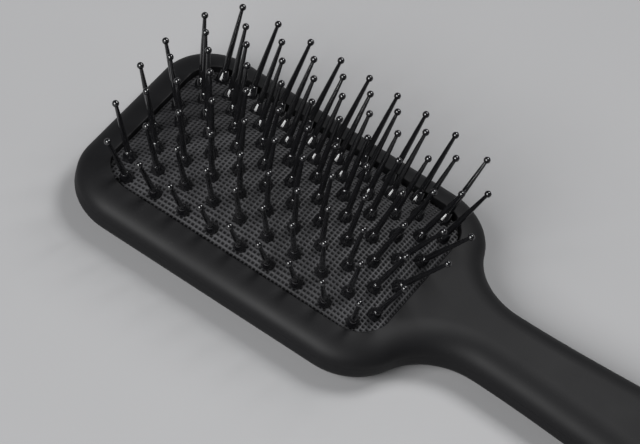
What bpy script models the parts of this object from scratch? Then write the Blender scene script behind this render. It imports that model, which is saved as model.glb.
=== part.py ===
"""Vanity hairbrush with an air cushion, lying on its back.

X runs along the brush, from the head's free end to the end of the handle. Y runs across it, and Z is up.
The origin is at the middle of the length and width, on the surface that the brush lies on.
"""

import math

import bmesh
import bpy
from mathutils import Matrix, Vector

MM = 0.001

# Whole brush
LENGTH = 250 * MM
HEAD_TO_FREE_END = 56 * MM
HEAD_X = HEAD_TO_FREE_END - LENGTH / 2

# Plan outline of the widest level, measured from the middle of the head
HEAD_HALF_WIDTH = 38.8 * MM
FREE_CORNER_RADIUS = 18.6 * MM
SHOULDER_RADIUS = 20 * MM
SHOULDER_X = 36 * MM
NECK_HALF_WIDTH = 12.4 * MM
NECK_RADIUS = 21.4 * MM
HANDLE_HALF_WIDTH = 16.5 * MM
HANDLE_WIDEST_X = 155 * MM
HANDLE_END_ROUNDING = 22 * MM

# Heights and roundings of the two shells
FRONT_Z = 14.7 * MM
SEAM_Z = 7.8 * MM
HEAD_FRONT_ROUNDING = 11.6 * MM
HANDLE_FRONT_ROUNDING = 9 * MM
BACK_ROUNDING = 8 * MM
SHELL_WALL = 2.2 * MM
FRONT_BAND = 0.6 * MM
BACK_BAND = 1.5 * MM
FRONT_LEVELS = 6
BACK_LEVELS = 5

# Opening of the cushion
OPENING_HALF_X = 47.3 * MM
OPENING_HALF_Y = 29.75 * MM
OPENING_RADIUS = 10.7 * MM
SKIRT_WALL = 2 * MM
SKIRT_Z = 9.6 * MM

# Cushion pad
PAD_WALL = 1.4 * MM
PAD_EDGE_GAP = 0.5 * MM
PAD_EDGE_Z = 11.9 * MM
PAD_RISE = 9 * MM
PAD_POWER_X = 3.5
PAD_POWER_Y = 2.1
FLANGE_WIDTH = 2.6 * MM
PAD_GRID = (20, 12)

# Parts under the pad
FRAME_HEIGHT = 2 * MM
CHAMBER_WALL = 2 * MM

# Pins
ROWS = 9
PINS_IN_ODD_ROW = 9
PIN_PITCH = 9.5 * MM
OUTER_ROW_PITCH = 9.85 * MM
ROW_PITCH = 6.3 * MM
PIN_SIDES = 6
PIN_LENGTH = 23.8 * MM
BALL_RADIUS = 1.05 * MM
TIP_RADIUS = 0.53 * MM
SHAFT_RADIUS = 0.95 * MM
COLLAR_RADIUS = 2 * MM
COLLAR_TOP_RADIUS = 1.2 * MM
COLLAR_HEIGHT = 3.2 * MM
COLLAR_LIFT = 0.55 * MM
ROOT_RADIUS = 0.9 * MM
WEB_RADIUS = 1 * MM
WEB_OVERHANG = 1.4 * MM
WEB_GAP = 0.6 * MM

# Leans of the pins, as tangents: (lean, growth power, loss per row) towards each end of the head
LEAN_SPAN = 38 * MM
FREE_END_LEAN = (0.395, 2.06, 0.136)
HANDLE_END_LEAN = (0.467, 3.25, 0.176)
ROW_LEAN = 0.152
ROW_LEAN_LOSS = 1.27
ROW_LEAN_POWER = 2.6

GAP = 0.3 * MM
MERGE = 0.001 * MM


def clear_scene():
    for item in list(bpy.data.objects):
        bpy.data.objects.remove(item, do_unlink=True)


def collection(name):
    group = bpy.data.collections.new(name)
    bpy.context.scene.collection.children.link(group)
    return group


def material(name, color, roughness):
    made = bpy.data.materials.new(name)
    made.use_nodes = True
    shader = made.node_tree.nodes["Principled BSDF"]
    shader.inputs["Base Color"].default_value = (*color, 1)
    shader.inputs["Roughness"].default_value = roughness
    shader.inputs["Metallic"].default_value = 0
    return made


def add_object(name, data, group, finish=None):
    item = bpy.data.objects.new(name, data)
    group.objects.link(item)
    if finish:
        data.materials.append(finish)
    return item


def add_cutter(name, mesh):
    item = add_object(name, mesh, cutters)
    item.hide_render = True
    item.display_type = "WIRE"
    return item


def boolean(item, operation, other):
    step = item.modifiers.new(other.name, "BOOLEAN")
    step.operation = operation
    step.object = other
    step.solver = "EXACT"


def smooth_step(value):
    value = min(max(value, 0), 1)
    return value * value * (3 - 2 * value)


def arc(center, radius, start, end, steps):
    """Points of an arc, with the angles in degrees and both ends included."""
    angles = [math.radians(start + (end - start) * i / steps) for i in range(steps + 1)]
    return [(center[0] + radius * math.cos(a), center[1] + radius * math.sin(a)) for a in angles]


# The two shells


def handle_half_width(x):
    neck_end = neck_center()[0]
    growth = smooth_step((x - neck_end) / (HANDLE_WIDEST_X - neck_end))
    return NECK_HALF_WIDTH + (HANDLE_HALF_WIDTH - NECK_HALF_WIDTH) * growth


def neck_center():
    """Centre of the hollow arc that touches both the shoulder's arc and the neck."""
    shoulder_y = HEAD_HALF_WIDTH - SHOULDER_RADIUS
    neck_y = NECK_HALF_WIDTH + NECK_RADIUS
    reach = SHOULDER_RADIUS + NECK_RADIUS
    return SHOULDER_X + math.sqrt(reach**2 - (neck_y - shoulder_y) ** 2), neck_y


def half_outline():
    """The +Y half of the plan outline, from the free end to the handle's end."""
    free_corner = (FREE_CORNER_RADIUS - HEAD_TO_FREE_END, HEAD_HALF_WIDTH - FREE_CORNER_RADIUS)
    shoulder = (SHOULDER_X, HEAD_HALF_WIDTH - SHOULDER_RADIUS)
    neck = neck_center()
    turn = math.degrees(math.atan2(neck[1] - shoulder[1], neck[0] - shoulder[0]))
    points = [(-HEAD_TO_FREE_END, free_corner[1] * i / 3) for i in range(3)]
    points += arc(free_corner, FREE_CORNER_RADIUS, 180, 90, 8)
    side_length = shoulder[0] - free_corner[0]
    points += [(free_corner[0] + side_length * i / 4, HEAD_HALF_WIDTH) for i in range(1, 4)]
    points += arc(shoulder, SHOULDER_RADIUS, 90, turn, 7)
    points += arc(neck, NECK_RADIUS, turn + 180, 270, 6)[1:]
    end_x = LENGTH - HEAD_TO_FREE_END - HANDLE_END_ROUNDING
    handle_x = [neck[0] + (end_x - neck[0]) * i / 8 for i in range(1, 8)]
    points += [(x, handle_half_width(x)) for x in handle_x]
    for i in range(10):
        angle = math.radians(90 - 10 * i)
        along = end_x + HANDLE_END_ROUNDING * math.cos(angle)
        points.append((along, HANDLE_HALF_WIDTH * math.sin(angle)))
    points[-1] = (points[-1][0], 0)
    return points


def inward_normals(points):
    """Unit normals that point into the outline, and along X where it crosses the middle."""
    normals = []
    for i in range(len(points)):
        before = points[max(i - 1, 0)]
        after = points[min(i + 1, len(points) - 1)]
        along = Vector((after[0] - before[0], after[1] - before[1])).normalized()
        normals.append(Vector((along.y, -along.x)))
    normals[0] = Vector((1, 0))
    normals[-1] = Vector((-1, 0))
    return normals


def front_rounding(x):
    """Width of the front rounding, which narrows from the head to the handle."""
    narrowing = smooth_step((x - SHOULDER_X) / (neck_center()[0] - SHOULDER_X))
    return HEAD_FRONT_ROUNDING + (HANDLE_FRONT_ROUNDING - HEAD_FRONT_ROUNDING) * narrowing


def half_shell_mesh(name, seam_z, band_z, face_z, levels, rounding):
    """Half of a shell's outer skin, open at the middle plane: a band at the seam, then a rounding."""
    outline = half_outline()
    normals = inward_normals(outline)
    skin = bmesh.new()
    steps = [(seam_z, 0)]
    for level in range(levels):
        angle = math.radians(90 * level / (levels - 1))
        steps.append((band_z + (face_z - band_z) * math.sin(angle), 1 - math.cos(angle)))
    rings = []
    for z, share in steps:
        ring = []
        for (x, y), normal in zip(outline, normals):
            inset = rounding(x) * share
            ring.append(skin.verts.new((HEAD_X + x + normal.x * inset, y + normal.y * inset, z)))
        rings.append(ring)
    for low, high in zip(rings, rings[1:]):
        for i in range(len(low) - 1):
            skin.faces.new((low[i], high[i], high[i + 1], low[i + 1]))
    skin.faces.new(reversed(rings[-1]))
    if face_z < seam_z:
        bmesh.ops.reverse_faces(skin, faces=skin.faces)
    mesh = bpy.data.meshes.new(name)
    skin.to_mesh(mesh)
    skin.free()
    mesh.shade_smooth()
    return mesh


def shell_object(name, *shape):
    item = add_object(name, half_shell_mesh(name, *shape), parts, body_plastic)
    mirror = item.modifiers.new("both_sides", "MIRROR")
    mirror.use_axis = (False, True, False)
    mirror.merge_threshold = MERGE
    wall = item.modifiers.new("wall", "SOLIDIFY")
    wall.thickness = SHELL_WALL
    wall.offset = -1
    wall.use_even_offset = True
    return item


def rounded_rectangle(grow, steps=6):
    """Outline of the cushion's opening, grown outwards by a distance."""
    radius = OPENING_RADIUS + grow
    corner_x = OPENING_HALF_X - OPENING_RADIUS
    corner_y = OPENING_HALF_Y - OPENING_RADIUS
    points = []
    for quarter, (sign_x, sign_y) in enumerate([(1, 1), (-1, 1), (-1, -1), (1, -1)]):
        center = (sign_x * corner_x, sign_y * corner_y)
        points += arc(center, radius, 90 * quarter, 90 * quarter + 90, steps)
    return points


def prism_mesh(name, outlines, low, high):
    """A flat outline, with a hole if there is a second one, extruded between two heights."""
    curve = bpy.data.curves.new(name, "CURVE")
    curve.dimensions = "2D"
    curve.fill_mode = "BOTH"
    curve.extrude = (high - low) / 2
    for outline in outlines:
        spline = curve.splines.new("POLY")
        spline.points.add(len(outline) - 1)
        spline.use_cyclic_u = True
        for point, (x, y) in zip(spline.points, outline):
            point.co = (x, y, 0, 1)
    holder = add_object(name, curve, cutters)
    holder.location = (HEAD_X, 0, (high + low) / 2)
    return meshed(holder)


def meshed(holder):
    """A curve object's solid as a mesh in world space, with its caps welded; the curve is removed."""
    bpy.context.view_layer.update()
    evaluated = holder.evaluated_get(bpy.context.evaluated_depsgraph_get())
    mesh = bpy.data.meshes.new_from_object(evaluated)
    mesh.transform(holder.matrix_world)
    welded = bmesh.new()
    welded.from_mesh(mesh)
    bmesh.ops.remove_doubles(welded, verts=welded.verts, dist=MERGE)
    bmesh.ops.recalc_face_normals(welded, faces=welded.faces)
    welded.to_mesh(mesh)
    welded.free()
    bpy.data.objects.remove(holder, do_unlink=True)
    return mesh


def build_front_shell():
    seam = SEAM_Z + GAP / 2
    shell = shell_object("front_shell", seam, seam + FRONT_BAND, FRONT_Z, FRONT_LEVELS, front_rounding)
    skirt_top = FRONT_Z - SHELL_WALL / 2
    skirt = prism_mesh("skirt", [rounded_rectangle(SKIRT_WALL)], SKIRT_Z, skirt_top)
    opening = prism_mesh("opening", [rounded_rectangle(0)], SKIRT_Z - SHELL_WALL, FRONT_Z + SHELL_WALL)
    boolean(shell, "UNION", add_cutter("skirt", skirt))
    boolean(shell, "DIFFERENCE", add_cutter("opening", opening))


def frame_top():
    return SKIRT_Z - 2 * GAP - PAD_WALL


def build_back_cover():
    seam = SEAM_Z - GAP / 2
    shell = shell_object("back_cover", seam, seam - BACK_BAND, 0, BACK_LEVELS, lambda x: BACK_ROUNDING)
    wall_top = frame_top() - FRAME_HEIGHT - GAP
    outlines = [rounded_rectangle(CHAMBER_WALL), rounded_rectangle(0)]
    wall = prism_mesh("chamber_wall", outlines, SHELL_WALL / 2, wall_top)
    boolean(shell, "UNION", add_cutter("chamber_wall", wall))


def build_retaining_frame():
    outlines = [rounded_rectangle(FLANGE_WIDTH), rounded_rectangle(-SHELL_WALL / 2)]
    mesh = prism_mesh("retaining_frame", outlines, frame_top() - FRAME_HEIGHT, frame_top())
    add_object("pad_retaining_frame", mesh, parts, frame_plastic)


# The cushion pad


def pad_height(x, y):
    """Height of the pad's outer surface, from the middle of the head."""
    across_x = 1 - min(abs(x) / OPENING_HALF_X, 1) ** PAD_POWER_X
    across_y = 1 - min(abs(y) / OPENING_HALF_Y, 1) ** PAD_POWER_Y
    return PAD_EDGE_Z + PAD_RISE * across_x * across_y


def dome_block(name, drop):
    """A block whose top is the pad's surface lowered by a distance, wider than the opening."""
    block = bmesh.new()
    bmesh.ops.create_grid(block, x_segments=PAD_GRID[0], y_segments=PAD_GRID[1], size=1)
    for vert in block.verts:
        x = vert.co.x * OPENING_HALF_X
        y = vert.co.y * OPENING_HALF_Y
        vert.co = (HEAD_X + x, y, pad_height(x, y) - drop)
    sides = bmesh.ops.extrude_face_region(block, geom=block.faces[:])
    for item in sides["geom"]:
        if isinstance(item, bmesh.types.BMVert):
            item.co.z = 0
    bmesh.ops.recalc_face_normals(block, faces=block.faces)
    mesh = bpy.data.meshes.new(name)
    block.to_mesh(mesh)
    block.free()
    return add_cutter(name, mesh)


def plug_mesh(name, grow, drop, low):
    """What fills the opening up to the pad's surface, lowered by a distance."""
    column = prism_mesh(name, [rounded_rectangle(grow)], low, PAD_EDGE_Z + 2 * PAD_RISE)
    plug = add_object(name, column, cutters)
    boolean(plug, "INTERSECT", dome_block(name + "_dome", drop))
    return meshed(plug)


def pin_holes_mesh():
    holes = bmesh.new()
    radius = ROOT_RADIUS + GAP
    for row in range(1, ROWS + 1):
        for x, y in row_places(row):
            bmesh.ops.create_cone(
                holes,
                cap_ends=True,
                segments=PIN_SIDES,
                radius1=radius,
                radius2=radius,
                depth=4 * PAD_WALL,
                matrix=pin_matrix(x, y),
            )
    mesh = bpy.data.meshes.new("pin_holes")
    holes.to_mesh(mesh)
    holes.free()
    return mesh


def build_cushion_pad():
    """A domed skin on a short wall, with a flange under the skirt and a hole for each pin."""
    flange_top = SKIRT_Z - GAP
    flange_low = flange_top - PAD_WALL
    outer = plug_mesh("pad_outside", -PAD_EDGE_GAP, 0, flange_low + PAD_WALL / 2)
    inner = plug_mesh("pad_inside", -PAD_EDGE_GAP - PAD_WALL, PAD_WALL, flange_low - PAD_WALL)
    flange_outlines = [rounded_rectangle(FLANGE_WIDTH), rounded_rectangle(-PAD_EDGE_GAP - PAD_WALL / 2)]
    flange = prism_mesh("pad_flange", flange_outlines, flange_low, flange_top)
    pad = add_object("cushion_pad", outer, parts, pad_rubber)
    boolean(pad, "DIFFERENCE", add_cutter("pad_inside", inner))
    boolean(pad, "UNION", add_cutter("pad_flange", flange))
    boolean(pad, "DIFFERENCE", add_cutter("pin_holes", pin_holes_mesh()))


# The pins


def row_places(row):
    """Places of a row's pins, from the middle of the head; even rows hold one pin more."""
    count = PINS_IN_ODD_ROW + (row + 1) % 2
    pitch = OUTER_ROW_PITCH if row in (1, ROWS) else PIN_PITCH
    y = ROW_PITCH * (row - (ROWS + 1) / 2)
    return [(pitch * (i - (count - 1) / 2), y) for i in range(count)]


def pin_lean(x, y):
    """Leans of a pin along X and Y, which roughly follow the pad's falls."""
    rows_out = abs(y) / ROW_PITCH
    most, power, loss = FREE_END_LEAN if x < 0 else HANDLE_END_LEAN
    along = most * (abs(x) / LEAN_SPAN) ** power * (1 - loss * rows_out)
    flatness = 1 - (y / OPENING_HALF_Y) ** 2
    loss = ROW_LEAN_LOSS * flatness * (abs(x) / OPENING_HALF_X) ** ROW_LEAN_POWER
    across = ROW_LEAN * rows_out * (1 - loss)
    return math.copysign(along, x), math.copysign(across, y)


def pin_matrix(x, y):
    """Stands a pin on the pad's surface."""
    axis = Vector((*pin_lean(x, y), 1)).normalized()
    turn = Vector((0, 0, 1)).rotation_difference(axis).to_matrix().to_4x4()
    return Matrix.Translation((HEAD_X + x, y, pad_height(x, y))) @ turn


def web_depth():
    """Depth of a web's centre line below the pad's outer surface."""
    return PAD_WALL + WEB_GAP + WEB_RADIUS


def pin_mesh():
    """One pin, turned about its own axis, with the pad's surface at its origin."""
    profile = [
        (0, PIN_LENGTH + BALL_RADIUS),
        (BALL_RADIUS, PIN_LENGTH),
        (TIP_RADIUS, PIN_LENGTH - BALL_RADIUS),
        (SHAFT_RADIUS, COLLAR_HEIGHT),
        (COLLAR_TOP_RADIUS, COLLAR_HEIGHT),
        (COLLAR_RADIUS, COLLAR_LIFT),
        (ROOT_RADIUS, COLLAR_LIFT),
        (ROOT_RADIUS, -web_depth() - WEB_RADIUS / 2),
        (0, -web_depth() - WEB_RADIUS / 2),
    ]
    mesh = bpy.data.meshes.new("pin")
    edges = [(i, i + 1) for i in range(len(profile) - 1)]
    mesh.from_pydata([(radius, 0, z) for radius, z in profile], edges, [])
    turned = add_object("pin", mesh, cutters)
    screw = turned.modifiers.new("turn", "SCREW")
    screw.steps = PIN_SIDES
    screw.render_steps = PIN_SIDES
    screw.use_merge_vertices = True
    screw.merge_threshold = MERGE
    return meshed(turned)


def web_mesh(name, matrices):
    """The thin bar behind the pad that joins the roots of a group of pins."""
    roots = [matrix @ Vector((0, 0, -web_depth())) for matrix in matrices]
    ends = [(roots[0] - roots[1]).normalized(), (roots[-1] - roots[-2]).normalized()]
    path = [roots[0] + ends[0] * WEB_OVERHANG, *roots, roots[-1] + ends[1] * WEB_OVERHANG]
    curve = bpy.data.curves.new(name, "CURVE")
    curve.dimensions = "3D"
    curve.bevel_depth = WEB_RADIUS
    curve.bevel_resolution = 0
    curve.use_fill_caps = True
    spline = curve.splines.new("POLY")
    spline.points.add(len(path) - 1)
    for point, place in zip(spline.points, path):
        point.co = (*place, 1)
    return meshed(add_object(name, curve, cutters))


def build_pin_group(name, places, pin):
    matrices = [pin_matrix(x, y) for x, y in places]
    joined = bmesh.new()
    for matrix in matrices:
        one = pin.copy()
        one.transform(matrix)
        joined.from_mesh(one)
        bpy.data.meshes.remove(one)
    mesh = bpy.data.meshes.new(name)
    joined.to_mesh(mesh)
    joined.free()
    group = add_object(name, mesh, parts, pin_nylon)
    boolean(group, "UNION", add_cutter(name + "_web", web_mesh(name + "_web", matrices)))


def build_pins():
    """Each row is three groups: three pins at either end, and three or four in the middle."""
    pin = pin_mesh()
    for row in range(1, ROWS + 1):
        places = row_places(row)
        build_pin_group(f"pins_row_{row}_free_end", places[:3], pin)
        build_pin_group(f"pins_row_{row}_middle", places[3:-3], pin)
        build_pin_group(f"pins_row_{row}_handle_end", places[-3:], pin)


clear_scene()
parts = collection("vanity_hairbrush")
cutters = collection("cutters")
body_plastic = material("satin_black_plastic", (0.012, 0.012, 0.013), 0.42)
frame_plastic = material("frame_plastic", (0.02, 0.02, 0.02), 0.5)
pad_rubber = material("textured_rubber", (0.018, 0.018, 0.018), 0.7)
pin_nylon = material("glossy_nylon", (0.01, 0.01, 0.01), 0.15)
build_front_shell()
build_back_cover()
build_retaining_frame()
build_cushion_pad()
build_pins()
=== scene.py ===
import math

import bmesh
import bpy
import numpy as np
from mathutils import Matrix, Vector


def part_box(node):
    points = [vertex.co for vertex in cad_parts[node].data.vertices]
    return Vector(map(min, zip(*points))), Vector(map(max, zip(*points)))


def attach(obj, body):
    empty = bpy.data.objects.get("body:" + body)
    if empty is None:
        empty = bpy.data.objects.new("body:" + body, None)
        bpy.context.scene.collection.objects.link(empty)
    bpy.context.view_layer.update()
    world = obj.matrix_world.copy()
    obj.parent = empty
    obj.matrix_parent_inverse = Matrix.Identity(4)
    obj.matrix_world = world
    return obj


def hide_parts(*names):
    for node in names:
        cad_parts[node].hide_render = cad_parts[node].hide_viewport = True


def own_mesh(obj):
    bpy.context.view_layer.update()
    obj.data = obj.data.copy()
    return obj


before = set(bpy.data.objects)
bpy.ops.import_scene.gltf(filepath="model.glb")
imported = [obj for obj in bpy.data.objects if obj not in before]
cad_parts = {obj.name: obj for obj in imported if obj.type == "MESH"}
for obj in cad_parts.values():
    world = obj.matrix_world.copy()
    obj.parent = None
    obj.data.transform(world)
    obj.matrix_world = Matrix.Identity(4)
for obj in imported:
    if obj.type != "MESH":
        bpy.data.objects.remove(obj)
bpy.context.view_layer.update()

MM = 0.001

# Places read from the frame
FRONT_LOW, FRONT_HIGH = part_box("front_shell")
PAD_LOW, PAD_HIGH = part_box("cushion_pad")
HEAD_X = (PAD_LOW.x + PAD_HIGH.x) / 2
FRONT_Z = FRONT_HIGH.z
FREE_END = HEAD_X - FRONT_LOW.x
HANDLE_END = FRONT_HIGH.x - HEAD_X
HEAD_HALF_WIDTH = FRONT_HIGH.y

# Plan outline and roundings of the body
FREE_CORNER_RADIUS = 18.6 * MM
SHOULDER_RADIUS = 20 * MM
SHOULDER_X = 36 * MM
NECK_HALF_WIDTH = 12.4 * MM
NECK_RADIUS = 21.4 * MM
HANDLE_HALF_WIDTH = 16.5 * MM
HANDLE_WIDEST_X = 155 * MM
HANDLE_END_ROUNDING = 22 * MM
SEAM_Z = 7.8 * MM
SEAM_LINE = 0.06 * MM
FRONT_BAND = 0.75 * MM
BACK_BAND = 1.65 * MM
HEAD_FRONT_ROUNDING = 11.6 * MM
HANDLE_FRONT_ROUNDING = 9 * MM
BACK_ROUNDING = 8 * MM
EDGE_ROUNDING = 0.4 * MM
FRONT_LEVELS = 26
BACK_LEVELS = 14
OUTLINE_TOLERANCE = 0.02 * MM

# Cushion
OPENING_HALF_X = 47.3 * MM
OPENING_HALF_Y = 29.75 * MM
OPENING_RADIUS = 10.7 * MM
FLANGE_WIDTH = 2.6 * MM
PAD_GAP = 0.2 * MM
PAD_RISE = 9 * MM
PAD_EDGE_Z = PAD_HIGH.z - PAD_RISE
PAD_POWER_X = 3.5
PAD_POWER_Y = 2.1
PAD_WALL = 1.8 * MM  # thicker than the CAD pad's 1.4 mm
SKIRT_Z = 9.6 * MM
LATTICE_PITCH = 1.31 * MM
LATTICE_DEPTH = 0.42 * MM
LATTICE_SAMPLES = 6
PIT_START = 0.5
PIT_SLOPE = 0.38

# Pins
ROWS = 9
PINS_IN_ODD_ROW = 9
PIN_PITCH = 9.5 * MM
OUTER_ROW_PITCH = 9.85 * MM
ROW_PITCH = 6.3 * MM
PIN_LENGTH = 23.8 * MM
BALL_RADIUS = 1.05 * MM
TIP_RADIUS = 0.53 * MM
SHAFT_RADIUS = 0.95 * MM
COLLAR_RADIUS = 2.1 * MM
COLLAR_TOP_RADIUS = 1.15 * MM
COLLAR_HEIGHT = 3.2 * MM
COLLAR_LIFT = 0.5 * MM
ROOT_DEPTH = 3.2 * MM
PIN_SIDES = 24
TAPER_STEPS = 8
COLLAR_CURVE = 1.3
SHAFT_CURVE = 1.4
COLLAR_SINK = 2 * LATTICE_DEPTH
STEP_HEIGHT = 0.15 * MM

# Leans of the pins, as tangents: (lean, growth power, loss per row) towards each end of the head
LEAN_SPAN = 38 * MM
FREE_END_LEAN = (0.395, 2.06, 0.136)
HANDLE_END_LEAN = (0.467, 3.25, 0.176)
ROW_LEAN = 0.152
ROW_LEAN_LOSS = 1.27
ROW_LEAN_POWER = 2.6

# Camera, on a ball around the point that it looks at
VIEW_AIM = Vector((HEAD_X + 8.5 * MM, 10.5 * MM, 0))
VIEW_AZIMUTH = 19.03
VIEW_ELEVATION = 48.67
VIEW_ROLL = 18.03
VIEW_DISTANCE = 1.146
VIEW_LENS = 219.5


def smooth_step(value):
    value = min(max(value, 0), 1)
    return value * value * (3 - 2 * value)


def arc(center, radius, start, end, steps):
    """Points of an arc, with the angles in degrees and both ends included."""
    angles = np.radians(np.linspace(start, end, steps + 1))
    return [(center[0] + radius * math.cos(a), center[1] + radius * math.sin(a)) for a in angles]


def add_piece(name, mesh, body, slot_name, finish, *stands_for):
    piece = bpy.data.objects.new(name, mesh)
    bpy.context.scene.collection.objects.link(piece)
    mesh.materials.append(finish)
    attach(piece, body)
    if stands_for:
        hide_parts(*stands_for)
    return piece


def mesh_of(name, points, faces):
    mesh = bpy.data.meshes.new(name)
    mesh.from_pydata([tuple(p) for p in points], [], faces)
    mesh.validate()
    mesh.update()
    return mesh


# ---------------------------------------------------------------- materials


class Finish:
    """A Principled material and the few node patterns that the finishes share."""

    def __init__(self, name, specular=0.5):
        self.material = bpy.data.materials.new(name)
        self.material.use_nodes = True
        self.tree = self.material.node_tree
        self.shader = self.tree.nodes["Principled BSDF"]
        self.shader.inputs["Specular IOR Level"].default_value = specular
        self.place = self.tree.nodes.new("ShaderNodeTexCoord").outputs["Object"]

    def link(self, source, target):
        self.tree.links.new(source, target)

    def noise(self, scale, detail=3.0, roughness=0.55):
        node = self.tree.nodes.new("ShaderNodeTexNoise")
        node.inputs["Scale"].default_value = scale
        node.inputs["Detail"].default_value = detail
        node.inputs["Roughness"].default_value = roughness
        self.link(self.place, node.inputs["Vector"])
        return node.outputs["Fac"]

    def remap(self, value, low, high, to_low, to_high):
        node = self.tree.nodes.new("ShaderNodeMapRange")
        node.inputs["From Min"].default_value = low
        node.inputs["From Max"].default_value = high
        node.inputs["To Min"].default_value = to_low
        node.inputs["To Max"].default_value = to_high
        self.link(value, node.inputs["Value"])
        return node.outputs["Result"]

    def ramp(self, value, *stops):
        node = self.tree.nodes.new("ShaderNodeValToRGB")
        ramp = node.color_ramp
        while len(ramp.elements) < len(stops):
            ramp.elements.new(1)
        for element, (position, color) in zip(ramp.elements, stops):
            element.position = position
            element.color = (*color, 1)
        self.link(value, node.inputs["Fac"])
        return node.outputs["Color"]

    def math(self, operation, first, second):
        node = self.tree.nodes.new("ShaderNodeMath")
        node.operation = operation
        for socket, value in zip(node.inputs, (first, second)):
            if isinstance(value, (int, float)):
                socket.default_value = value
            else:
                self.link(value, socket)
        return node.outputs["Value"]

    def bump(self, height, strength, distance, below=None):
        node = self.tree.nodes.new("ShaderNodeBump")
        node.inputs["Strength"].default_value = strength
        node.inputs["Distance"].default_value = distance
        self.link(height, node.inputs["Height"])
        if below:
            self.link(below, node.inputs["Normal"])
        return node.outputs["Normal"]


def satin_plastic():
    """Soft-touch black: a fine grain, broad cloudy gloss from handling and a little pale dust."""
    finish = Finish("satin_black_plastic", specular=0.18)
    handling = finish.noise(28, 4)
    dust = finish.noise(2600, 2)
    black = (0.0042, 0.0042, 0.0048)
    worn = (0.0062, 0.0062, 0.0068)
    speck = (0.03, 0.03, 0.03)
    color = finish.ramp(dust, (0.0, black), (0.7, worn), (0.79, speck))
    finish.link(color, finish.shader.inputs["Base Color"])
    finish.link(finish.remap(handling, 0.3, 0.7, 0.5, 0.6), finish.shader.inputs["Roughness"])
    grain = finish.bump(finish.noise(5200, 2), 0.12, 0.00006)
    finish.link(grain, finish.shader.inputs["Normal"])
    return finish.material


def pad_rubber():
    """Dull moulded rubber: paler rib tops and near-black pits, which is painted shade in the pits, with
    random wear on the ribs and specks of dust.
    """
    finish = Finish("textured_rubber", specular=0.22)
    wear = finish.noise(60, 4)
    dust = finish.noise(3100, 1)
    height = finish.tree.nodes.new("ShaderNodeAttribute")
    height.attribute_name = "rib"
    # rib mask times wear noise: painted shade in the pits, with random wear on the ribs
    rib_shade_and_wear = finish.math("MULTIPLY", height.outputs["Fac"], finish.remap(wear, 0.3, 0.7, 0.75, 1.0))
    shade_wear_and_dust = finish.math("ADD", rib_shade_and_wear, finish.remap(dust, 0.72, 0.8, 0.0, 0.25))
    # painted shade: the near-black pits and the paler rib tops stand in for the shade deep in the lattice
    pit_painted_shade = (0.0015, 0.0015, 0.0018)
    side = (0.009, 0.009, 0.01)
    top = (0.052, 0.052, 0.055)
    color = finish.ramp(shade_wear_and_dust, (0.0, pit_painted_shade), (0.55, side), (1.0, top))
    finish.link(color, finish.shader.inputs["Base Color"])
    finish.link(finish.remap(height.outputs["Fac"], 0, 1, 0.9, 0.45), finish.shader.inputs["Roughness"])
    finish.link(finish.bump(finish.noise(4200, 3), 0.2, 0.00005), finish.shader.inputs["Normal"])
    return finish.material


def glossy_nylon():
    """Polished black nylon with faint moulding waves and fine scuffs."""
    finish = Finish("glossy_nylon", specular=0.8)
    scuff = finish.noise(1400, 3)
    color = finish.ramp(scuff, (0.0, (0.003, 0.003, 0.0035)), (1.0, (0.008, 0.008, 0.009)))
    finish.link(color, finish.shader.inputs["Base Color"])
    finish.link(finish.remap(scuff, 0.35, 0.7, 0.05, 0.11), finish.shader.inputs["Roughness"])
    finish.link(finish.bump(finish.noise(900, 2), 0.05, 0.0001), finish.shader.inputs["Normal"])
    return finish.material


def frame_plastic():
    """Plain moulded black, which is hidden in use."""
    finish = Finish("frame_plastic", specular=0.4)
    color = finish.ramp(finish.noise(700, 3), (0.2, (0.015, 0.015, 0.015)), (0.8, (0.026, 0.026, 0.026)))
    finish.link(color, finish.shader.inputs["Base Color"])
    finish.link(finish.remap(finish.noise(90, 3), 0.3, 0.7, 0.45, 0.6), finish.shader.inputs["Roughness"])
    finish.link(finish.bump(finish.noise(3000, 2), 0.15, 0.00006), finish.shader.inputs["Normal"])
    return finish.material


# ---------------------------------------------------------------- body


def neck_center():
    """Centre of the hollow arc that touches both the shoulder's arc and the neck."""
    shoulder_y = HEAD_HALF_WIDTH - SHOULDER_RADIUS
    neck_y = NECK_HALF_WIDTH + NECK_RADIUS
    reach = SHOULDER_RADIUS + NECK_RADIUS
    return SHOULDER_X + math.sqrt(reach**2 - (neck_y - shoulder_y) ** 2), neck_y


def handle_half_width(x):
    neck_end = neck_center()[0]
    growth = smooth_step((x - neck_end) / (HANDLE_WIDEST_X - neck_end))
    return NECK_HALF_WIDTH + (HANDLE_HALF_WIDTH - NECK_HALF_WIDTH) * growth


def half_outline():
    """The +Y half of the plan outline, from the free end to the handle's end."""
    free_corner = (FREE_CORNER_RADIUS - FREE_END, HEAD_HALF_WIDTH - FREE_CORNER_RADIUS)
    shoulder = (SHOULDER_X, HEAD_HALF_WIDTH - SHOULDER_RADIUS)
    neck = neck_center()
    turn = math.degrees(math.atan2(neck[1] - shoulder[1], neck[0] - shoulder[0]))
    end_x = HANDLE_END - HANDLE_END_ROUNDING
    points = [(-FREE_END, free_corner[1] * i / 6) for i in range(6)]
    points += arc(free_corner, FREE_CORNER_RADIUS, 180, 90, 30)
    points += [(x, HEAD_HALF_WIDTH) for x in np.linspace(free_corner[0], shoulder[0], 14)[1:-1]]
    points += arc(shoulder, SHOULDER_RADIUS, 90, turn, 28)
    points += arc(neck, NECK_RADIUS, turn + 180, 270, 26)[1:]
    points += [(x, handle_half_width(x)) for x in np.linspace(neck[0], end_x, 30)[1:-1]]
    for angle in np.radians(np.linspace(90, 0, 31)):
        points.append((end_x + HANDLE_END_ROUNDING * math.cos(angle), HANDLE_HALF_WIDTH * math.sin(angle)))
    return np.array(points)


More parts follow.
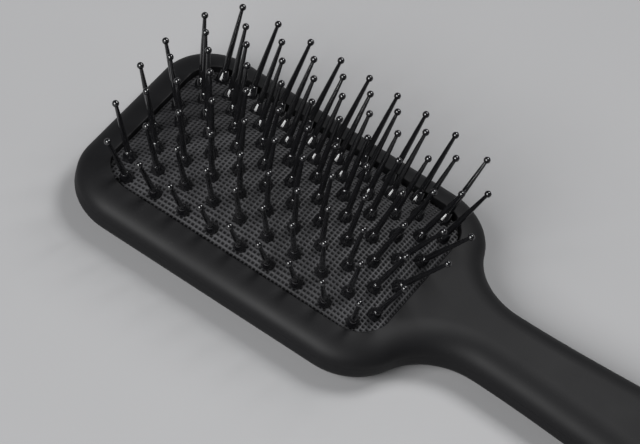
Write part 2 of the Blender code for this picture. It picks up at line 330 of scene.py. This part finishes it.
def whole_outline():
    """Both halves as one loop, with inward unit normals."""
    half = half_outline()
    half[-1, 1] = 0
    loop = np.vstack([half, half[-2:0:-1] * (1, -1)])
    along = np.roll(loop, -1, axis=0) - np.roll(loop, 1, axis=0)
    along /= np.linalg.norm(along, axis=1)[:, None]
    return loop, np.stack([along[:, 1], -along[:, 0]], axis=1)


def front_rounding(x):
    """Width of the front rounding, which narrows from the head to the handle."""
    narrowing = smooth_step((x - SHOULDER_X) / (neck_center()[0] - SHOULDER_X))
    return HEAD_FRONT_ROUNDING + (HANDLE_FRONT_ROUNDING - HEAD_FRONT_ROUNDING) * narrowing


def half_body_mesh(name, seam_z, band_z, face_z, levels, rounding):
    """A solid half of the body: flat at the seam, a straight band, then a rounding to the face."""
    loop, normals = whole_outline()
    widths = np.array([rounding(x) for x in loop[:, 0]])
    angles = np.radians(np.linspace(0, 90, levels))
    steps = [(seam_z, 0)] + [(band_z + (face_z - band_z) * math.sin(a), 1 - math.cos(a)) for a in angles]
    points = []
    for z, share in steps:
        ring = loop + normals * (widths * share)[:, None]
        points += [(HEAD_X + x, y, z) for x, y in ring]
    count = len(loop)
    faces = [tuple(range(count)), tuple(reversed(range(len(points) - count, len(points))))]
    for level in range(len(steps) - 1):
        for i in range(count):
            j = (i + 1) % count
            low, high = level * count, (level + 1) * count
            faces.append((low + i, high + i, high + j, low + j))
    mesh = mesh_of(name, points, faces)
    facing = bmesh.new()
    facing.from_mesh(mesh)
    bmesh.ops.recalc_face_normals(facing, faces=facing.faces)
    facing.to_mesh(mesh)
    facing.free()
    return mesh


def rounded_rectangle(grow, steps=24):
    """Outline of the cushion's opening, grown outwards by a distance."""
    corner_x = OPENING_HALF_X - OPENING_RADIUS
    corner_y = OPENING_HALF_Y - OPENING_RADIUS
    points = []
    for quarter, (sign_x, sign_y) in enumerate([(1, 1), (-1, 1), (-1, -1), (1, -1)]):
        center = (sign_x * corner_x, sign_y * corner_y)
        points += arc(center, OPENING_RADIUS + grow, 90 * quarter, 90 * quarter + 90, steps)
    return points


def tube_mesh(name, levels):
    """A closed band through outlines (grow, z), listed around its section."""
    outlines = [[(HEAD_X + x, y, z) for x, y in rounded_rectangle(grow)] for grow, z in levels]
    count = len(outlines[0])
    faces = []
    for k in range(len(outlines)):
        after = (k + 1) % len(outlines)
        for i in range(count):
            j = (i + 1) % count
            faces.append((k * count + i, k * count + j, after * count + j, after * count + i))
    mesh = mesh_of(name, [p for outline in outlines for p in outline], faces)
    mesh.shade_smooth()
    mesh.set_sharp_from_angle(angle=math.radians(40))
    return mesh


def cut_prism(piece, name, grow, low, high):
    """Cuts a rounded rectangle through a piece, and applies the cut."""
    outline = rounded_rectangle(grow)
    count = len(outline)
    points = [(HEAD_X + x, y, z) for z in (low, high) for x, y in outline]
    faces = [tuple(reversed(range(count))), tuple(range(count, 2 * count))]
    faces += [(i, (i + 1) % count, count + (i + 1) % count, count + i) for i in range(count)]
    cutter = bpy.data.objects.new(name, mesh_of(name, points, faces))
    bpy.context.scene.collection.objects.link(cutter)
    step = piece.modifiers.new(name, "BOOLEAN")
    step.operation = "DIFFERENCE"
    step.solver = "EXACT"
    step.object = cutter
    apply_modifiers(piece)
    bpy.data.objects.remove(cutter, do_unlink=True)


def apply_modifiers(piece):
    bpy.context.view_layer.update()
    evaluated = piece.evaluated_get(bpy.context.evaluated_depsgraph_get())
    finished = bpy.data.meshes.new_from_object(evaluated)
    piece.modifiers.clear()
    piece.data = finished


def opening_distance(x, y):
    """Distance of a place from the opening's outline, negative inside it."""
    over_x = abs(x) - OPENING_HALF_X + OPENING_RADIUS
    over_y = abs(y) - OPENING_HALF_Y + OPENING_RADIUS
    outside = math.hypot(max(over_x, 0), max(over_y, 0))
    return outside + min(max(over_x, over_y), 0) - OPENING_RADIUS


def round_opening_edge(piece):
    """A small radius where the rim turns down to the cushion."""
    shape = bmesh.new()
    shape.from_mesh(piece.data)
    rim = []
    for edge in shape.edges:
        distances = [abs(opening_distance(v.co.x - HEAD_X, v.co.y)) for v in edge.verts]
        on_outline = max(distances) < OUTLINE_TOLERANCE
        on_top = all(v.co.z > FRONT_Z - EDGE_ROUNDING for v in edge.verts)
        if on_outline and on_top and len(edge.link_faces) == 2 and edge.calc_face_angle(0) > 1:
            rim.append(edge)
    bmesh.ops.bevel(shape, geom=rim, offset=EDGE_ROUNDING, segments=5, profile=0.5, affect="EDGES")
    shape.to_mesh(piece.data)
    shape.free()


def build_body(finish):
    seam = SEAM_Z + SEAM_LINE / 2
    mesh = half_body_mesh("front_moulding", seam, seam + FRONT_BAND, FRONT_Z, FRONT_LEVELS, front_rounding)
    front = add_piece("front_moulding", mesh, "brush_body", "body_plastic", finish, "front_shell")
    cut_prism(front, "opening", 0, 0, 2 * FRONT_Z)
    cut_prism(front, "pocket", FLANGE_WIDTH + PAD_GAP, 0, SKIRT_Z)
    round_opening_edge(front)
    seam = SEAM_Z - SEAM_LINE / 2
    mesh = half_body_mesh("back_moulding", seam, seam - BACK_BAND, 0, BACK_LEVELS, lambda x: BACK_ROUNDING)
    back = add_piece("back_moulding", mesh, "brush_body", "body_plastic", finish, "back_cover")
    for piece in (front, back):
        piece.data.shade_smooth()
        piece.data.set_sharp_from_angle(angle=math.radians(35))


# ---------------------------------------------------------------- cushion


def pad_height(x, y):
    """Height of the pad's outer surface over a place measured from the middle of the head."""
    across_x = 1 - np.minimum(np.abs(x) / OPENING_HALF_X, 1) ** PAD_POWER_X
    across_y = 1 - np.minimum(np.abs(y) / OPENING_HALF_Y, 1) ** PAD_POWER_Y
    return PAD_EDGE_Z + PAD_RISE * across_x * across_y


def inside_outline(x, y):
    """Points pulled onto the pad's outline where they lie outside it, and whether they did."""
    radius = OPENING_RADIUS - PAD_GAP
    core_x = OPENING_HALF_X - OPENING_RADIUS
    core_y = OPENING_HALF_Y - OPENING_RADIUS
    over_x = np.maximum(np.abs(x) - core_x, 0)
    over_y = np.maximum(np.abs(y) - core_y, 0)
    reach = np.hypot(over_x, over_y)
    outside = reach > radius * 0.999
    pull = np.where(outside, radius / np.maximum(reach, 1e-9), 1)
    new_x = np.sign(x) * (np.minimum(np.abs(x), core_x) + over_x * pull)
    new_y = np.sign(y) * (np.minimum(np.abs(y), core_y) + over_y * pull)
    return new_x, new_y, outside


def ribs(x, y):
    """The moulded lattice: 1 on the ribs, 0 in the square pits between them."""
    across = np.clip((np.abs(np.sin(np.pi * x / LATTICE_PITCH)) - PIT_START) / PIT_SLOPE, 0, 1)
    along = np.clip((np.abs(np.sin(np.pi * y / LATTICE_PITCH)) - PIT_START) / PIT_SLOPE, 0, 1)
    return 1 - across * along


def pad_mesh():
    columns = round(2 * OPENING_HALF_X / LATTICE_PITCH * LATTICE_SAMPLES)
    rows = round(2 * OPENING_HALF_Y / LATTICE_PITCH * LATTICE_SAMPLES)
    grid_x = np.linspace(-OPENING_HALF_X, OPENING_HALF_X, columns + 1)
    grid_y = np.linspace(-OPENING_HALF_Y, OPENING_HALF_Y, rows + 1)
    x, y = np.meshgrid(grid_x, grid_y, indexing="ij")
    x, y, outside = inside_outline(x, y)
    rib = np.where(outside, 0.5, ribs(x, y))
    z = pad_height(x, y) + LATTICE_DEPTH * (rib - 1)
    points = np.stack([HEAD_X + x, y, z], axis=-1).reshape(-1, 3)
    index = np.arange(points.shape[0]).reshape(x.shape)
    ends = (index[:-1, :-1], index[1:, :-1], index[1:, 1:], index[:-1, 1:])
    corners = np.stack(ends, axis=-1).reshape(-1, 4)
    kept = ~outside.reshape(-1)[corners].all(axis=1)
    mesh = mesh_of("cushion_skin", points, corners[kept].tolist())
    # the rib mask also sets the rubber's painted shade in the pits
    height = mesh.attributes.new("rib", "FLOAT", "POINT")
    height.data.foreach_set("value", rib.reshape(-1).astype(np.float32))
    return mesh


def hang_wall(mesh):
    """Removes loose points, and turns the pad's edge down into the short wall under the rim."""
    shape = bmesh.new()
    shape.from_mesh(mesh)
    bmesh.ops.delete(shape, geom=[v for v in shape.verts if not v.link_faces], context="VERTS")
    edge = [e for e in shape.edges if e.is_boundary]
    wall = bmesh.ops.extrude_edge_only(shape, edges=edge)
    for item in wall["geom"]:
        if isinstance(item, bmesh.types.BMVert):
            item.co.z = SKIRT_Z + PAD_GAP / 2
    bmesh.ops.recalc_face_normals(shape, faces=shape.faces)
    shape.to_mesh(mesh)
    shape.free()


def build_cushion(finish):
    mesh = pad_mesh()
    hang_wall(mesh)
    mesh.shade_smooth()
    pad = add_piece("cushion_skin", mesh, "brush_body", "pad_rubber", finish, "cushion_pad")
    wall = pad.modifiers.new("wall", "SOLIDIFY")
    wall.thickness = PAD_WALL
    wall.offset = -1
    apply_modifiers(pad)
    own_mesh(pad)
    low, high = PAD_LOW.z, SKIRT_Z - PAD_GAP / 2
    section = [(-PAD_GAP, low), (FLANGE_WIDTH, low), (FLANGE_WIDTH, high), (-PAD_GAP, high)]
    add_piece("cushion_flange", tube_mesh("cushion_flange", section), "brush_body", "pad_rubber", finish)


# ---------------------------------------------------------------- pins


def row_places(row):
    """Places of a row's pins, from the middle of the head; even rows hold one pin more."""
    count = PINS_IN_ODD_ROW + (row + 1) % 2
    pitch = OUTER_ROW_PITCH if row in (1, ROWS) else PIN_PITCH
    y = ROW_PITCH * (row - (ROWS + 1) / 2)
    return [(pitch * (i - (count - 1) / 2), y) for i in range(count)]


def pin_lean(x, y):
    """Leans of a pin along X and Y, which roughly follow the pad's falls."""
    rows_out = abs(y) / ROW_PITCH
    most, power, loss = FREE_END_LEAN if x < 0 else HANDLE_END_LEAN
    along = most * (abs(x) / LEAN_SPAN) ** power * (1 - loss * rows_out)
    flatness = 1 - (y / OPENING_HALF_Y) ** 2
    loss = ROW_LEAN_LOSS * flatness * (abs(x) / OPENING_HALF_X) ** ROW_LEAN_POWER
    across = ROW_LEAN * rows_out * (1 - loss)
    return math.copysign(along, x), math.copysign(across, y)


def pin_matrix(x, y):
    """Stands a pin on the pad's surface."""
    axis = Vector((*pin_lean(x, y), 1)).normalized()
    turn = Vector((0, 0, 1)).rotation_difference(axis).to_matrix().to_4x4()
    return Matrix.Translation((HEAD_X + x, y, float(pad_height(x, y)))) @ turn


def pin_profile():
    """Radius and height of a pin from its root to its tip."""
    neck = PIN_LENGTH - math.sqrt(BALL_RADIUS**2 - TIP_RADIUS**2)
    profile = [(0, -ROOT_DEPTH), (COLLAR_TOP_RADIUS, -ROOT_DEPTH), (COLLAR_TOP_RADIUS, -COLLAR_SINK)]
    profile += [(COLLAR_RADIUS, -COLLAR_SINK), (COLLAR_RADIUS, COLLAR_LIFT)]
    for i in range(1, TAPER_STEPS + 1):
        share = i / TAPER_STEPS
        radius = COLLAR_RADIUS + (COLLAR_TOP_RADIUS - COLLAR_RADIUS) * share**COLLAR_CURVE
        profile.append((radius, COLLAR_LIFT + (COLLAR_HEIGHT - COLLAR_LIFT) * share))
    profile.append((SHAFT_RADIUS, COLLAR_HEIGHT + STEP_HEIGHT))
    for i in range(1, TAPER_STEPS + 1):
        share = i / TAPER_STEPS
        radius = SHAFT_RADIUS + (TIP_RADIUS - SHAFT_RADIUS) * share**SHAFT_CURVE
        profile.append((radius, COLLAR_HEIGHT + (neck - COLLAR_HEIGHT) * share))
    start = math.degrees(math.asin((neck - PIN_LENGTH) / BALL_RADIUS))
    for angle in np.radians(np.linspace(start, 90, 13)[1:]):
        profile.append((BALL_RADIUS * math.cos(angle), PIN_LENGTH + BALL_RADIUS * math.sin(angle)))
    profile[-1] = (0, PIN_LENGTH + BALL_RADIUS)
    return profile


def turned(profile, sides):
    """A turned body as points and faces; the profile starts and ends on the axis."""
    points = [(0, 0, profile[0][1])]
    for radius, z in profile[1:-1]:
        angles = [2 * math.pi * i / sides for i in range(sides)]
        points += [(radius * math.cos(a), radius * math.sin(a), z) for a in angles]
    points.append((0, 0, profile[-1][1]))
    faces = []
    for i in range(sides):
        j = (i + 1) % sides
        faces.append((0, 1 + j, 1 + i))
        for ring in range(len(profile) - 3):
            low, high = 1 + ring * sides, 1 + (ring + 1) * sides
            faces.append((low + i, low + j, high + j, high + i))
        top = 1 + (len(profile) - 3) * sides
        faces.append((top + i, top + j, len(points) - 1))
    return np.array(points), faces


def build_pins(finish):
    pin_points, pin_faces = turned(pin_profile(), PIN_SIDES)
    for row in range(1, ROWS + 1):
        places = row_places(row)
        groups = {"free_end": places[:3], "middle": places[3:-3], "handle_end": places[-3:]}
        for part, members in groups.items():
            node = f"pins_row_{row}_{part}"
            points, faces = [], []
            for x, y in members:
                matrix = np.array(pin_matrix(x, y))
                placed = pin_points @ matrix[:3, :3].T + matrix[:3, 3]
                faces += [tuple(len(points) + i for i in face) for face in pin_faces]
                points += placed.tolist()
            mesh = mesh_of(f"moulded_{node}", points, faces)
            mesh.shade_smooth()
            mesh.set_sharp_from_angle(angle=math.radians(50))
            add_piece(f"moulded_{node}", mesh, node, "pin_nylon", finish, node)


# ---------------------------------------------------------------- stage


def look_direction(azimuth, elevation):
    a, e = math.radians(azimuth), math.radians(elevation)
    return Vector((math.sin(a) * math.cos(e), -math.cos(a) * math.cos(e), math.sin(e)))


def build_camera():
    back = look_direction(VIEW_AZIMUTH, VIEW_ELEVATION)
    level = Vector((0, 0, 1)).cross(back).normalized()
    upright = back.cross(level)
    roll = math.radians(VIEW_ROLL)
    right = level * math.cos(roll) + upright * math.sin(roll)
    up = upright * math.cos(roll) - level * math.sin(roll)
    data = bpy.data.cameras.new("camera")
    data.lens = VIEW_LENS
    data.sensor_width = 36
    data.clip_start = 0.05
    camera = bpy.data.objects.new("camera", data)
    turn = Matrix((right, up, back)).transposed().to_4x4()
    camera.matrix_world = Matrix.Translation(VIEW_AIM + back * VIEW_DISTANCE) @ turn
    bpy.context.scene.collection.objects.link(camera)
    bpy.context.scene.camera = camera


def soft_light(name, azimuth, elevation, distance, size, power):
    data = bpy.data.lights.new(name, "AREA")
    data.shape = "RECTANGLE"
    data.size, data.size_y = size
    data.energy = power
    light = bpy.data.objects.new(name, data)
    away = look_direction(azimuth, elevation)
    light.location = Vector((HEAD_X, 0, 0)) + away * distance
    light.rotation_euler = away.to_track_quat("Z", "Y").to_euler()
    bpy.context.scene.collection.objects.link(light)


def build_lights():
    soft_light("overhead_softbox", 161, 61, 0.9, (0.36, 0.36), 6)
    soft_light("front_left_softbox", -15, 37, 1.3, (0.9, 0.6), 22)
    soft_light("low_front_strip", -1, 9, 0.8, (0.12, 0.08), 0.5)
    world = bpy.data.worlds.new("studio")
    bpy.context.scene.world = world
    bpy.context.scene.view_settings.view_transform = "Standard"
    world.use_nodes = True
    world.node_tree.nodes["Background"].inputs["Color"].default_value = (0.9, 0.93, 1, 1)
    world.node_tree.nodes["Background"].inputs["Strength"].default_value = 0.08


def build_floor():
    shape = bmesh.new()
    bmesh.ops.create_grid(shape, x_segments=1, y_segments=1, size=4)
    mesh = bpy.data.meshes.new("floor")
    shape.to_mesh(mesh)
    shape.free()
    floor = bpy.data.objects.new("floor", mesh)
    bpy.context.scene.collection.objects.link(floor)
    finish = Finish("floor_paper")
    finish.link(
        finish.ramp(finish.noise(6, 3), (0.3, (0.3, 0.3, 0.305)), (0.7, (0.32, 0.32, 0.325))),
        finish.shader.inputs["Base Color"],
    )
    finish.shader.inputs["Roughness"].default_value = 0.7
    mesh.materials.append(finish.material)


body_finish = satin_plastic()
rubber_finish = pad_rubber()
nylon_finish = glossy_nylon()
build_body(body_finish)
build_cushion(rubber_finish)
build_pins(nylon_finish)
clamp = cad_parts["pad_retaining_frame"]
clamp.data.materials.clear()
clamp.data.materials.append(frame_plastic())
build_camera()
build_lights()
build_floor()
